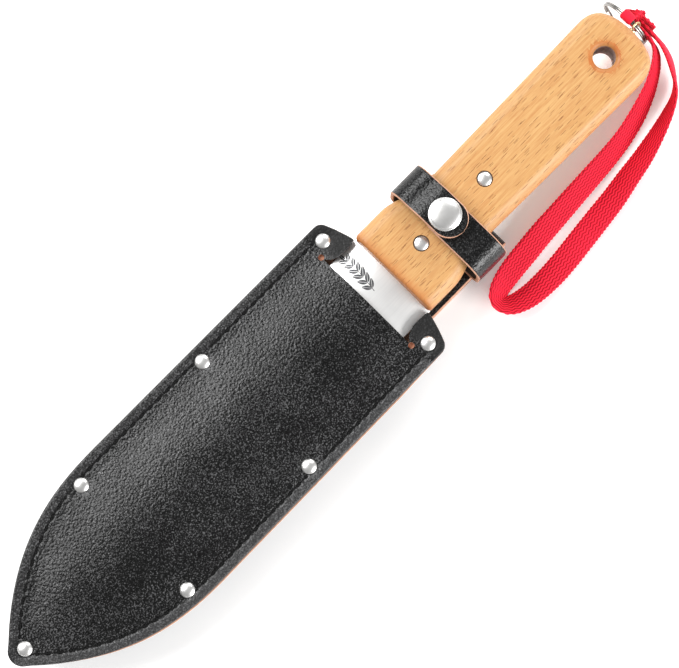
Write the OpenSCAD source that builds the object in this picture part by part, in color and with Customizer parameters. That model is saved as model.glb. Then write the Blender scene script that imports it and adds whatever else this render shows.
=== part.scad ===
// Hori hori knife in a riveted leather sheath, with a snapped keeper strap and a wrist lanyard.
// It lies level with its point towards -X, resting on the sheath's folded belt loop.

/* [Blade] */
// Length of the blade from the handle to the point
blade_len = 182; // [172:1:184]
// Width of the blade
blade_w = 37.8; // [34:0.2:38]
// Thickness of the blade's steel
blade_t = 2.5; // [2:0.1:2.8]
// How deep the blade is hollowed across its width
dish = 3.2; // [1:0.1:3.4]
// Length of the tang inside the handle
tang_len = 60; // [56:1:66]
// Width of the tang
tang_w = 24; // [14:1:25]

/* [Handle] */
// Length of the handle
handle_len = 124.5; // [120:0.5:128]
// Thickness of the handle
handle_t = 18; // [17:0.5:19]
// Width of the flare at the front of the handle
flare_w = 37.8; // [34:0.2:38]
// Width of the waist behind the flare
waist_w = 29.2; // [28:0.2:32]
// Width at the butt
butt_w = 31.6; // [30:0.2:33]
// Radius of the hanging hole
hang_r = 4.2; // [3.5:0.1:4.5]
// Distance of the hanging hole from the butt
hang_in = 14.7; // [14:0.1:16]

/* [Sheath] */
// Length of the sheath from its tip to the mouth
mouth_x = 181.5; // [181:0.5:183]
// Width of the sheath
sheath_w = 66.2; // [64:0.2:68]
// Thickness of the sheath's leather
leather_t = 1.8; // [1.6:0.1:2]
// Thickness of the welt between the panels
welt_t = 2.6; // [2.4:0.1:3]
// Width of the tongue behind the handle
tongue_w = 37.2; // [34:0.2:40]
// Height of the gap that a belt goes through
loop_gap = 4.6; // [4.4:0.1:6]

/* [Keeper strap] */
// Width of the strap
strap_w = 14.2; // [13:0.2:15]
// Thickness of the strap's leather
strap_t = 1.6; // [1.4:0.1:1.8]
// Radius of the snap's cap
snap_r = 6.15; // [5.5:0.05:6.5]

/* [Lanyard] */
// Outer radius of the split ring
ring_r = 10.5; // [10:0.1:10.7]
// Diameter of the ring's wire
ring_wire = 0.9; // [0.8:0.05:1]
// Width of the webbing
web_w = 9.6; // [9:0.1:10]
// Thickness of the webbing
web_t = 1.5; // [1.2:0.1:1.6]

/* [Hidden] */
$fn = 48;

// Heights, from the table up
tongue_z = leather_t + loop_gap;
strap_z = tongue_z + leather_t;
handle_low = strap_z + strap_t + 0.9;
handle_z = handle_low + handle_t / 2;
handle_top = handle_low + handle_t;
edge_z = handle_z - dish;
back_top = edge_z - blade_t / 2 - 0.35;
back_z = back_top - leather_t;
border_z = back_top + welt_t;
border_top = border_z + leather_t;
dome_h = handle_z + blade_t / 2 - border_z;

// Places along the knife, from the sheath's tip
handle_x = mouth_x + 13.3;
butt_x = handle_x + handle_len;
tip_x = handle_x - blade_len;
hang_x = butt_x - hang_in;
rivet_xs = [handle_x + 14.9, handle_x + 47.6];
strap_x = handle_x + 27.6;
tongue_end = handle_x + 39.2;
tongue_y = -2.3;
edge_r = 5;
butt_len = 12.3;

// The ring hangs in the screw eye, just behind the butt
eye_r = 1.4;
eye_wire = 0.8;
screw_r = 1.3;
eye_x = butt_x + 3;
ring_mid = ring_r - ring_wire / 2;
ring_z = ring_r + 0.1;
ring_y = 4.4;
eye_z = ring_z + sqrt(pow(ring_mid, 2) - pow(ring_y, 2));
ring_lean = atan2(ring_y, eye_z - ring_z);

// The whole object is centred on X = 0
mid_x = (eye_x + ring_wire) / 2;

// Sheath outlines: a point that swells by a power law into nearly parallel sides
ogive_n = 2.45;
nose_r = 5.5;
ogive_len = 76.8;
blade_point = 62;
cavity_x = 9.2;
cavity_len = 66;
cavity_w = 23.9;
ear_r = 3.8;
relief = [mouth_x, 22.8];
seam_in = 4;

// Rivets: sizes, and where they sit on one half of the sheath
cap_r = 2.85;
post_r = 1.5;
core_r = 0.9;
handle_rivet_r = 2.45;
handle_head_r = 2.75;
handle_seat_r = 3;
handle_seat = 0.6;
side_rivets = [[62.3, 26.8], [124.5, 27], [mouth_x + 4.8, 26.6]];
tip_rivet = [6.6, 0];
loop_rivets = [[108, tongue_y - 10], [108, tongue_y + 10]];

// Strap: its two sides are uneven, because the tongue sits off the knife's middle
strap_in_pos = 19.35;
strap_in_neg = -22.3;
strap_bend = 7;
flap_z = handle_top + 1.2;
snap_gap = 2.3;
tab_z = flap_z + strap_t + snap_gap;
snap_y = 0.8;
tab_end = -8.2;
flap_end = snap_y + strap_w / 2;
side_pos = strap_in_pos + strap_t / 2;
side_neg = strap_in_neg - strap_t / 2;
tab_arc = [side_pos - strap_bend, handle_low + 14.8];
flap_arc = [side_neg + strap_bend, flap_z + strap_t / 2 - strap_bend];
fold_angle = 50;
fold_gap = 1;

// Route of the webbing's middle, from the ring round the loop and back, with its lean in degrees.
// It is written for a screw eye at 322.3 and moves with the eye.
loop = [
    [324.1, 3.5, 12.2, 90], [324.1, 0, 12, 90], [324.2, -3.5, 11.8, 85], [324.1, -7, 11.4, 81],
    [322.6, -11, 10.4, 72], [319.2, -14.5, 9, 66], [314.5, -17.5, 7.5, 62], [309, -20, 6, 55],
    [301.5, -22.5, 5, 48], [292.5, -24.5, 4.4, 45], [283, -25.5, 4, 40], [274, -26, 3.8, 36],
    [264.5, -26.5, 3.5, 32], [255.5, -27, 3.2, 28], [246, -27.5, 2.9, 24], [237, -28.3, 2.8, 22],
    [228, -29.2, 3, 26], [221, -30.6, 3.7, 38], [217.3, -32.8, 4.2, 46], [217, -35.7, 4.1, 45],
    [220, -38.5, 3.5, 34], [227, -40.5, 2.6, 22], [237, -41, 1.9, 12], [246, -40.5, 1.5, 6],
    [255.5, -39.5, 1.5, 6], [265, -38.5, 2, 12], [274, -37.5, 2.6, 20], [283, -36, 3.2, 30],
    [292.5, -34.5, 3.9, 40], [303, -32, 4.8, 56], [311, -29.5, 5.4, 70], [316.5, -27, 5.8, 84],
    [320, -24, 6.2, 96], [322.5, -20.5, 7, 104], [324.5, -16.5, 8.5, 108], [325.8, -12, 10.2, 106],
    [326.2, -8, 11.3, 102], [326.1, -4, 11.9, 96], [325.9, 0, 12, 90], [325.9, 3.5, 12.2, 90]];
route = [for (p = loop) [p[0] + eye_x - 322.3, p[1], p[2], p[3]]];

// ---- Helpers ----

function clamp01(t) = max(0, min(1, t));
function ease(t) = (1 - cos(180 * clamp01(t))) / 2;
function unit(v) = v / norm(v);
function arc(c, r, a0, a1, n = 8) =
    [for (i = [0 : n]) let (a = a0 + (a1 - a0) * i / n) c + r * [cos(a), sin(a)]];
function side(path, i) =
    let (d = path[min(i + 1, len(path) - 1)] - path[max(i - 1, 0)]) [-d[1], d[0]] / norm(d);

// Outline of a strip of thickness t whose middle follows a path
function band(path, t) = concat(
    [for (i = [0 : len(path) - 1]) path[i] + side(path, i) * t / 2],
    [for (i = [len(path) - 1 : -1 : 0]) path[i] - side(path, i) * t / 2]);

// A point that swells from x0 over a length into a half width
function ogive(x, x0, length, half) = half * (1 - pow(1 - clamp01((x - x0) / length), ogive_n));

// Half width of the sheath, of its cavity and of the blade
function sheath_half(x) = ogive(x, nose_r / 3 - ogive_len * 0.048, ogive_len, sheath_w / 2)
    - 0.006 * max(0, x - 75);
function cavity_half(x) = max(1.5, ogive(x, cavity_x, cavity_len, cavity_w));
function blade_half(x) = ogive(x, tip_x, blade_point, blade_w / 2);

// How far the blade's hollow and the panel's dome have grown at x
function swell(x) = 1 - pow(1 - clamp01((x - tip_x) / 75), 2);

// Underside of the front panel
function panel_under(x, y) = border_z
    + (dome_h * swell(x) + 0.5 * clamp01((x - tip_x) / 4))
    * pow(cos(90 * min(1, abs(y) / cavity_half(x))), 1.35);

function flip(points) = [for (i = [len(points) - 1 : -1 : 0]) [points[i][0], -points[i][1]]];

// Rounded rectangle, w by h, as points
function round_rect(w, h, r, n = 5) = concat(
    arc([w / 2 - r, h / 2 - r], r, 0, 90, n), arc([r - w / 2, h / 2 - r], r, 90, 180, n),
    arc([r - w / 2, r - h / 2], r, 180, 270, n), arc([w / 2 - r, r - h / 2], r, 270, 360, n));

// Solid through a list of rings that all have the same number of points
module loft(rings) {
    n = len(rings[0]);
    last = (len(rings) - 1) * n;
    sides = [for (i = [0 : len(rings) - 2]) for (j = [0 : n - 1])
        each [[i * n + j, i * n + n + (j + 1) % n, i * n + (j + 1) % n],
            [i * n + j, i * n + n + j, i * n + n + (j + 1) % n]]];
    ends = [for (j = [0 : n / 2 - 2])
        each [[j, j + 1, n - 2 - j, n - 1 - j],
            [last + n - 1 - j, last + n - 2 - j, last + j + 1, last + j]]];
    polyhedron([for (r = rings) each r], concat(sides, ends), convexity = 8);
}

// Everything is drawn from the sheath's tip and then centred
module placed() {
    translate([-mid_x, 0, 0]) children();
}

module dome(r, h) {
    ball = (r * r + h * h) / (2 * h);
    intersection() {
        translate([0, 0, h - ball]) sphere(ball, $fn = 64);
        cylinder(h, r, r);
    }
}

// A profile in Y and Z drawn out along X, centred on x
module along_x(x, length) {
    translate([x - length / 2, 0, 0]) rotate([90, 0, 90]) linear_extrude(length) children();
}

module both_sides() {
    children();
    mirror([0, 1, 0]) children();
}

// ---- Knife ----

function blade_mid(x, y) = edge_z + dish * swell(x) * (1 - pow(y / max(0.4, blade_half(x)), 2));
function blade_thick(x, y) = blade_t
    * min(1, 0.16 + 0.84 * (blade_half(x) - abs(y)) / 4.5 + ease((x - mouth_x + 6) / 8));
function blade_ring(x) = let (w = max(0.5, blade_half(x)), ys = [for (i = [-6 : 6]) w * i / 6])
    concat([for (y = ys) [x, y, blade_mid(x, y) - blade_thick(x, y) / 2]],
        [for (i = [12 : -1 : 0]) [x, ys[i], blade_mid(x, ys[i]) + blade_thick(x, ys[i]) / 2]]);

module blade() {
    tooth = 5;
    teeth = 16;
    teeth_x = 75;
    color("gainsboro") placed() difference() {
        union() {
            loft([for (x = [tip_x, tip_x + 2, tip_x + 5, tip_x + 9, tip_x + 14, tip_x + 20, tip_x + 28,
                tip_x + 38, tip_x + 50, tip_x + 62, tip_x + 80, mouth_x - 6, mouth_x - 2, mouth_x + 2,
                handle_x - 0.05]) blade_ring(x)]);
            translate([handle_x - 0.5, -tang_w / 2, handle_z - blade_t / 2])
                cube([tang_len + 0.5, tang_w, blade_t]);
        }
        for (x = rivet_xs) translate([x, 0, 0]) cylinder(40, handle_rivet_r + 0.05, handle_rivet_r + 0.05);
        for (i = [0 : teeth - 1])
            translate([teeth_x + i * tooth, -blade_w / 2, 10]) linear_extrude(14)
                polygon([[-1.8, -1], [1.8, -1], [0, 2]]);
    }
}

// Half width of the handle at a distance from its front
function handle_half(s) = s < 12.8 ? flare_w / 2
    : s < 32 ? flare_w / 2 + (waist_w - flare_w) / 2 * ease((s - 12.8) / 19.2)
    : waist_w / 2 + (butt_w - waist_w) / 2 * min(1, (s - 32) / (handle_len - butt_len - 32));
function butt_half(e) = butt_w / 2 * pow(1 - pow(e, 2.6), 1 / 2.6);
function butt_drop(d) = d < edge_r ? edge_r - sqrt(edge_r * edge_r - pow(edge_r - d, 2)) : 0;
function handle_ring(s, half, inset, drop) =
    [for (p = round_rect(2 * half - 2 * inset, handle_t - 2 * drop, min(edge_r, half - inset - 0.2)))
        [handle_x + s, p[0], p[1] + handle_z]];

module handle_body() {
    end = handle_len - butt_len;
    front = [[0, 1.5], [0.3, 0.8], [0.9, 0.2], [1.6, 0]];
    loft(concat(
        [for (f = front) handle_ring(f[0], handle_half(0), f[1], f[1])],
        [for (s = [12.8, 15, 17, 19.5, 22, 25, 28, 32, 50, 80, end]) handle_ring(s, handle_half(s), 0, 0)],
        [for (e = [0.2, 0.35, 0.5, 0.6, 0.68, 0.76, 0.83, 0.89, 0.94, 0.98, 0.999])
            handle_ring(end + butt_len * e, butt_half(e), 0, butt_drop(butt_len * (1 - e)))]));
}

module handle() {
    rim = 1.6;
    color("burlywood") placed() difference() {
        handle_body();
        translate([handle_x - 1, -tang_w / 2 - 0.1, handle_z - blade_t / 2 - 0.05])
            cube([tang_len + 1.5, tang_w + 0.2, blade_t + 0.1]);
        translate([hang_x, 0, handle_low - 1]) cylinder(handle_t + 2, hang_r, hang_r);
        for (top = [0, 1])
            translate([hang_x, 0, top * handle_top + (1 - top) * handle_low]) mirror([0, 0, top])
                rotate_extrude() difference() {
                    translate([0, -1]) square([hang_r + rim, rim + 1]);
                    translate([hang_r + rim, rim]) circle(rim);
                }
        for (x = rivet_xs) translate([x, 0, 0]) {
            translate([0, 0, handle_low - 1])
                cylinder(handle_t + 2, handle_rivet_r + 0.05, handle_rivet_r + 0.05);
            for (z = [handle_low - 1, handle_top - handle_seat])
                translate([0, 0, z]) cylinder(1 + handle_seat, handle_seat_r, handle_seat_r);
        }
        translate([butt_x - 9.5, 0, eye_z]) rotate([0, 90, 0]) cylinder(12, screw_r + 0.03, screw_r + 0.03);
    }
}

module handle_rivet_head() {
    cylinder(0.4, handle_head_r, handle_head_r);
    translate([0, 0, 0.4]) dome(handle_head_r, 0.6);
}

module handle_rivet_tubes() {
    color("silver") placed() for (x = rivet_xs) translate([x, 0, handle_top - handle_seat]) difference() {
        union() {
            handle_rivet_head();
            translate([0, 0, 4 - handle_t]) cylinder(handle_t - 4, handle_rivet_r, handle_rivet_r);
        }
        translate([0, 0, 3 - handle_t]) cylinder(handle_t - 4.5, 1.65, 1.65);
    }
}

module handle_rivet_pins() {
    color("silver") placed() for (x = rivet_xs) translate([x, 0, handle_low + handle_seat]) {
        mirror([0, 0, 1]) handle_rivet_head();
        cylinder(2, handle_rivet_r, handle_rivet_r);
        cylinder(handle_t - 4.5, 1.6, 1.6);
    }
}

module screw_eye() {
    color("darkkhaki") placed() translate([eye_x, 0, eye_z]) union() {
        rotate([90 - ring_lean, 0, 0]) rotate_extrude()
            translate([eye_r + eye_wire / 2, 0]) circle(eye_wire / 2, $fn = 24);
        translate([-10.9, 0, 0]) rotate([0, 90, 0]) cylinder(9.1, screw_r, screw_r);
        translate([-12.1, 0, 0]) rotate([0, 90, 0]) cylinder(1.25, 0.2, screw_r);
    }
}

// ---- Ring and lanyard ----

module split_ring() {
    color("lightgray") placed() translate([eye_x, ring_y, ring_z]) rotate([0, 90, 0])
        for (turn = [-1, 1]) translate([0, 0, turn * ring_wire * 0.48])
            rotate_extrude($fn = 96) translate([ring_mid, 0]) circle(ring_wire / 2, $fn = 24);
}

// One ring of the webbing's section: the strip leans over by the angle stored with each point
function web_ring(i) = let (
    p = [for (k = [0 : 2]) route[i][k]],
    a = route[max(0, i - 1)],
    b = route[min(len(route) - 1, i + 1)],
    t = unit([b[0] - a[0], b[1] - a[1], b[2] - a[2]]),
    flat = unit([t[1], -t[0], 0]),
    up = cross(flat, t),
    across = flat * cos(route[i][3]) + up * sin(route[i][3]),
    face = cross(t, across),
    w = web_w / 2,
    h = web_t / 2)
    [for (q = [[w, h / 2], [w - 0.4, h], [0.4 - w, h], [-w, h / 2],
        [-w, -h / 2], [0.4 - w, -h], [w - 0.4, -h], [w, -h / 2]]) p + across * q[0] + face * q[1]];

module lanyard() {
    color("crimson") placed() loft([for (i = [0 : len(route) - 1]) web_ring(i)]);
}

// Bar tacks that join the two ends, between the two runs of webbing
module lanyard_stitching() {
    color("firebrick") placed() for (y = [1.2, 2.8])
        for (row = [-2 : 2]) translate([eye_x + 2.7, y, 12.1 + row * 1.6]) cube([0.2, 1, 0.9], center = true);
}

// ---- Sheath ----

// Half outline of a panel, from the tip round the ear; the front one is cut back to open the mouth
function panel_half(open) = concat(
    arc([nose_r, 0], nose_r, 180, 122, 6),
    [for (x = [4.4, 7.5, 11, 15, 20, 25, 31, 38, 46, 55, 65, 75, 130, mouth_x + 6]) [x, sheath_half(x)]],
    arc([mouth_x + 6, sheath_half(mouth_x + 6) - ear_r], ear_r, 80, 15, 5),
    [[mouth_x + 10.9, 26.5], [mouth_x + 12.1, 22.5], [mouth_x + 12.8, 19.6], [mouth_x + 12.6, 18.7],
        [mouth_x + 10, 18.3], [mouth_x + 7, 18.25], [mouth_x + 4.4, 18.6]],
    open ? [[mouth_x + 2.1, 19.7], [mouth_x, 21.6]] : []);

module panel_outline(open) {
    half = panel_half(open);
    polygon(concat(half, flip(half)));
}

module rivet_holes(spots, r) {
    for (s = spots) translate([s[0], s[1], 0]) cylinder(40, r, r);
}

all_rivets = concat([tip_rivet], side_rivets, [for (s = side_rivets) [s[0], -s[1]]]);

module back_panel() {
    slope_end = handle_x + 3;
    fold_r = tongue_z / 2;
    fold_x = tongue_end - fold_r - leather_t / 2;
    flat_end = 140;
    bite = 0.1;
    rise_end = 120;
    path = concat(
        [for (i = [0 : 6]) [mouth_x + 3 + (slope_end - mouth_x - 3) * i / 6,
            back_top - leather_t / 2 - (back_z - tongue_z) * ease(i / 6)]],
        arc([fold_x, leather_t / 2 + fold_r], fold_r, 90, -90, 12),
        [for (i = [0 : 6]) [flat_end + (rise_end - flat_end) * i / 6,
            leather_t / 2 + (back_z - leather_t + bite) * ease(i / 6)]],
        [[98, back_z - leather_t / 2 + bite]]);
    color("dimgray") placed() difference() {
        union() {
            translate([0, 0, back_z]) linear_extrude(leather_t) panel_outline(false);
            translate([0, tongue_y + tongue_w / 2, 0]) rotate([90, 0, 0])
                linear_extrude(tongue_w) polygon(band(path, leather_t));
        }
        rivet_holes(all_rivets, post_r);
        rivet_holes(loop_rivets, post_r);
    }
}

module welt() {
    color("black") placed() translate([0, 0, back_top]) difference() {
        linear_extrude(welt_t) difference() {
            panel_outline(false);
            cavity = [for (x = [cavity_x + 0.2, 12, 16, 21, 27, 34, 42, 52, 64, 76, 200])
                [x, cavity_half(x)]];
            polygon(concat(cavity, flip(cavity)));
        }
        rivet_holes(all_rivets, post_r);
    }
}

module front_panel() {
    rows = [-1, 5, 9.2, 12, 16, 22, 30, 40, 52, 64, 76, 90, mouth_x, mouth_x + 16];
    across = [-1.6, -1, -0.83, -0.67, -0.5, -0.33, -0.17, 0, 0.17, 0.33, 0.5, 0.67, 0.83, 1, 1.6];
    function col(x, t) = abs(t) > 1 ? 36 * sign(t) : t * cavity_half(x);
    function row(x) = concat(
        [for (t = across) [x, col(x, t), panel_under(x, col(x, t))]],
        [for (i = [len(across) - 1 : -1 : 0])
            [x, col(x, across[i]), panel_under(x, col(x, across[i])) + leather_t]]);
    color([0.13, 0.13, 0.14]) placed() difference() {
        intersection() {
            loft([for (x = rows) row(x)]);
            linear_extrude(40) panel_outline(true);
        }
        rivet_holes(all_rivets, post_r);
        both_sides() translate([relief[0], relief[1], 0]) cylinder(40, 1, 1);
    }
}

// Stitches along both edges, on the front of the sheath and again on its back
module edge_stitching() {
    pitch = 4.4;
    tip = [6.5, 9.5, 12.8, 16.3, 20, 24, 28, 32, 36.2, 40.4, 44.6, 49, 53.4];
    color([0.05, 0.05, 0.05]) placed() both_sides()
        for (x = concat(tip, [for (x = [57.8 : pitch : mouth_x]) x])) {
            slope = sheath_half(x + 1) - sheath_half(x - 1);
            lean = atan2(slope, 2);
            y = sheath_half(x) - seam_in / cos(lean);
            near_rivet = min([for (s = all_rivets) norm([x, y] - s)]) < cap_r + 1.9;
            if (y > 3 && !near_rivet)
                for (z = [border_top, back_z - 0.3])
                    translate([x, y, z]) rotate(lean) translate([-1.4, -0.3, 0]) cube([2.8, 0.6, 0.3]);
        }
}

module rivet_cap(low) {
    difference() {
        union() {
            dome(cap_r, 1.3);
            translate([0, 0, -low]) cylinder(low, post_r - 0.05, post_r - 0.05);
        }
        translate([0, 0, -low - 1]) cylinder(low + 0.6, core_r + 0.05, core_r + 0.05);
    }
}

module rivet_post(reach) {
    mirror([0, 0, 1]) dome(cap_r, 0.7);
    cylinder(reach, core_r, core_r);
}

module sheath_rivet_caps() {
    color("silver") placed() for (s = all_rivets)
        translate([s[0], s[1], border_top]) rivet_cap(border_top - back_z - 0.2);
}

module sheath_rivet_posts() {
    color("silver") placed() for (s = all_rivets)
        translate([s[0], s[1], back_z]) rivet_post(border_top - back_z - 0.8);
}

// The belt loop's end is riveted to the back panel: flat heads inside, domed caps outside
module belt_loop_rivet_caps() {
    color("silver") placed() for (s = loop_rivets)
        translate([s[0], s[1], back_z - leather_t]) mirror([0, 0, 1]) rivet_cap(2 * leather_t - 0.6);
}

module belt_loop_rivet_posts() {
    color("silver") placed() for (s = loop_rivets) translate([s[0], s[1], back_top]) {
        cylinder(0.5, cap_r, cap_r);
        mirror([0, 0, 1]) cylinder(2 * leather_t - 0.8, core_r, core_r);
    }
}

// ---- Keeper strap and its snap ----

module strap_base() {
    r = 3.5;
    z = strap_z + strap_t / 2;
    path = concat(
        arc(tab_arc, strap_bend, fold_angle, 0, 6),
        arc([side_pos - r, z + r], r, 0, -90, 6),
        arc([side_neg + r, z + r], r, -90, -180, 6),
        arc(flap_arc, strap_bend, 180, 180 - fold_angle, 6));
    color([0.16, 0.16, 0.17]) placed() along_x(strap_x, strap_w) polygon(band(path, strap_t));
}

module strap_plan(y0, y1) {
    translate([strap_x, y0]) circle(strap_w / 2, $fn = 64);
    translate([strap_x - strap_w / 2, min(y0, y1)]) square([strap_w, abs(y1 - y0)]);
}

module strap_tab() {
    rise = 7.4;
    path = concat(
        arc(tab_arc, strap_bend, fold_angle + fold_gap, 78, 4),
        [for (i = [0 : 5]) [tab_arc[0] + 0.4 - rise * i / 5, tab_arc[1] + strap_bend - 0.1
            + (tab_z + strap_t / 2 - tab_arc[1] - strap_bend + 0.1) * ease(i / 5)]],
        [[tab_end - 1, tab_z + strap_t / 2]]);
    color([0.16, 0.16, 0.17]) placed() difference() {
        intersection() {
            along_x(strap_x, strap_w) polygon(band(path, strap_t));
            linear_extrude(60) strap_plan(tab_end + strap_w / 2, 30);
        }
        translate([strap_x, snap_y, 0]) cylinder(60, 1.65, 1.65);
    }
}

module strap_stud_end() {
    path = concat(
        arc(flap_arc, strap_bend, 180 - fold_angle - fold_gap, 90, 5),
        [[flap_end + 1, flap_z + strap_t / 2]]);
    color([0.16, 0.16, 0.17]) placed() difference() {
        intersection() {
            along_x(strap_x, strap_w) polygon(band(path, strap_t));
            linear_extrude(60) strap_plan(flap_end - strap_w / 2, -40);
        }
        translate([strap_x, snap_y, 0]) cylinder(60, 1.4, 1.4);
    }
}

// Two rows of stitches hold the strap to the tongue
module strap_stitching() {
    color([0.05, 0.05, 0.05]) placed() for (x = [-4, 4])
        for (i = [-3 : 3])
            for (z = [strap_z + strap_t, tongue_z - 0.2])
                translate([strap_x + x - 0.3, tongue_y + i * 4 - 1.4, z]) cube([0.6, 2.8, 0.2]);
}

module snap_cap() {
    color("silver") placed() translate([strap_x, snap_y, tab_z + strap_t]) {
        cylinder(0.6, snap_r, snap_r);
        translate([0, 0, 0.6]) dome(snap_r - 0.15, 1.1);
        translate([0, 0, -strap_t - 0.4]) cylinder(strap_t + 0.5, 1.6, 1.6);
    }
}

module snap_socket() {
    color("silver") placed() translate([strap_x, snap_y, tab_z]) rotate_extrude()
        polygon([[1.65, 0], [4.9, 0], [4.9, -1.3], [4.6, -1.6], [2.5, -1.6], [2.5, -1.35], [3, -1.35],
            [3, -0.85], [2.5, -0.85], [2.5, -0.4], [1.65, -0.4]]);
}

module snap_spring() {
    color("darkgray") placed() translate([strap_x, snap_y, tab_z - 1.1]) rotate_extrude()
        translate([2.62, 0]) circle(0.17, $fn = 16);
}

module snap_stud() {
    top = flap_z + strap_t;
    color("silver") placed() translate([strap_x, snap_y, top]) rotate_extrude()
        polygon([[1.35, 0], [4.2, 0], [4.2, 0.4], [1.8, 0.4], [1.75, 0.7], [2, 1], [1.9, 1.4], [1.35, 1.5]]);
}

module snap_eyelet() {
    color("silver") placed() translate([strap_x, snap_y, flap_z]) {
        translate([0, 0, -0.5]) cylinder(0.5, 3.4, 3.4);
        translate([0, 0, -0.1]) cylinder(strap_t + 1.4, 1.3, 1.3);
    }
}

blade();
handle();
handle_rivet_tubes();
handle_rivet_pins();
screw_eye();
split_ring();
lanyard();
lanyard_stitching();
back_panel();
welt();
front_panel();
edge_stitching();
sheath_rivet_caps();
sheath_rivet_posts();
belt_loop_rivet_caps();
belt_loop_rivet_posts();
strap_base();
strap_stitching();
strap_stud_end();
strap_tab();
snap_cap();
snap_socket();
snap_spring();
snap_stud();
snap_eyelet();
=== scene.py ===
"""Looks of a hori hori knife in its leather sheath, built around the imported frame.

Shapes are worked out in millimetres from the sheath's tip, as in the CAD source, and moved to the
frame's origin, in metres, where each mesh is made."""
import math

import bmesh
import bpy
import numpy as np
from mathutils import Matrix, Vector


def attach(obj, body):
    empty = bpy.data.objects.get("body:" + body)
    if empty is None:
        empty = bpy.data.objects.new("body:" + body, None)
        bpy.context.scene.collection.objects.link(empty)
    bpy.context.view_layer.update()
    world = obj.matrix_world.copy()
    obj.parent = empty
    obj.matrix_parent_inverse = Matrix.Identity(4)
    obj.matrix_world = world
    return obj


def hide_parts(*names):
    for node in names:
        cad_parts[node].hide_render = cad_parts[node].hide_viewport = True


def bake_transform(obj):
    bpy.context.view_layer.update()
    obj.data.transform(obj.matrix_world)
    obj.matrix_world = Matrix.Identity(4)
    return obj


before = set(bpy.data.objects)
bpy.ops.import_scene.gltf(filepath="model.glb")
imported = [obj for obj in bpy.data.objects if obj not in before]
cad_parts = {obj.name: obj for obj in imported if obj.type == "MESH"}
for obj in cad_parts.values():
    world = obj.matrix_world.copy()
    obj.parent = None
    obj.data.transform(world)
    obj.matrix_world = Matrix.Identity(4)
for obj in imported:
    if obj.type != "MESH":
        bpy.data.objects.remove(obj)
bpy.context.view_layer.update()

MM = 0.001
MID_X = 161.6    # from the sheath's tip to the frame's origin

# Sheath: its mouth, the heights of its layers, and its rivets
MOUTH = 181.5
BACK_Z, BACK_TOP, BORDER_Z, BORDER_TOP = 13.1, 14.9, 17.5, 19.3
LEATHER_T = 1.8
SIDE_RIVETS = [(62.3, 26.8), (124.5, 27.0), (186.3, 26.6)]
RIVETS = [(6.6, 0.0)] + SIDE_RIVETS + [(x, -y) for x, y in SIDE_RIVETS]

# Blade
TIP_X = 12.8
BLADE_HALF, BLADE_T, BLADE_Z, DISH = 18.9, 2.5, 16.5, 3.2

# Handle: flared at the blade, narrow at the waist and a little wider at the butt
HANDLE_X, HANDLE_LEN = 194.8, 124.5
HANDLE_LOW, HANDLE_TOP, HANDLE_Z = 10.7, 28.7, 19.7
FLARE_HALF, WAIST_HALF, BUTT_HALF = 18.9, 14.6, 15.8
FLARE_END, WAIST_AT, BUTT_ROUND = 12.8, 32, 12.3
HANG_X, HANG_R = 304.6, 4.2
HANDLE_RIVETS = [209.7, 242.4]

# Keeper strap, its snap, the split ring and the webbing
STRAP_X, STRAP_W, STRAP_T = 222.4, 14.2, 1.6
SNAP_Y, SNAP_Z = 0.8, 35.4
RING_X, RING_Y, RING_Z, RING_R, RING_WIRE = 322.3, 4.4, 10.6, 10.05, 0.44
WEB_W, WEB_T = 9.6, 1.5


def ease(t):
    """From 0 to 1 with a soft start and a soft end."""
    return (1 - np.cos(math.pi * np.clip(t, 0, 1))) / 2


# ---- Camera, floor and lights ----

def make_camera():
    """Almost straight down, with the knife lying across the picture from corner to corner."""
    tilt = math.radians(4.79)
    right = Vector((0.69962, -0.71452, 0))
    ahead = Vector((0.71452, 0.69962, 0))
    forward = Vector((0, 0, -math.cos(tilt))) + ahead * math.sin(tilt)
    up = ahead * math.cos(tilt) + Vector((0, 0, math.sin(tilt)))
    data = bpy.data.cameras.new("camera")
    data.sensor_width = 36
    data.lens = 153.76
    data.clip_start, data.clip_end = 0.05, 20
    ob = bpy.data.objects.new("camera", data)
    bpy.context.collection.objects.link(ob)
    ob.matrix_world = Matrix.Translation(Vector(((103.8 - MID_X) * MM, -62.57 * MM, 1.064))) @ Matrix(
        (right, up, -forward)).transposed().to_4x4()
    bpy.context.scene.camera = ob


def area_light(name, place, size, energy):
    """An oval light that looks at the frame's origin."""
    data = bpy.data.lights.new(name, "AREA")
    data.shape = "ELLIPSE"
    data.size, data.size_y = size
    data.energy = energy
    ob = bpy.data.objects.new(name, data)
    bpy.context.collection.objects.link(ob)
    ob.location = place
    ob.rotation_euler = Vector(place).to_track_quat("Z", "Y").to_euler()


# ---- Materials ----

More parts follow.
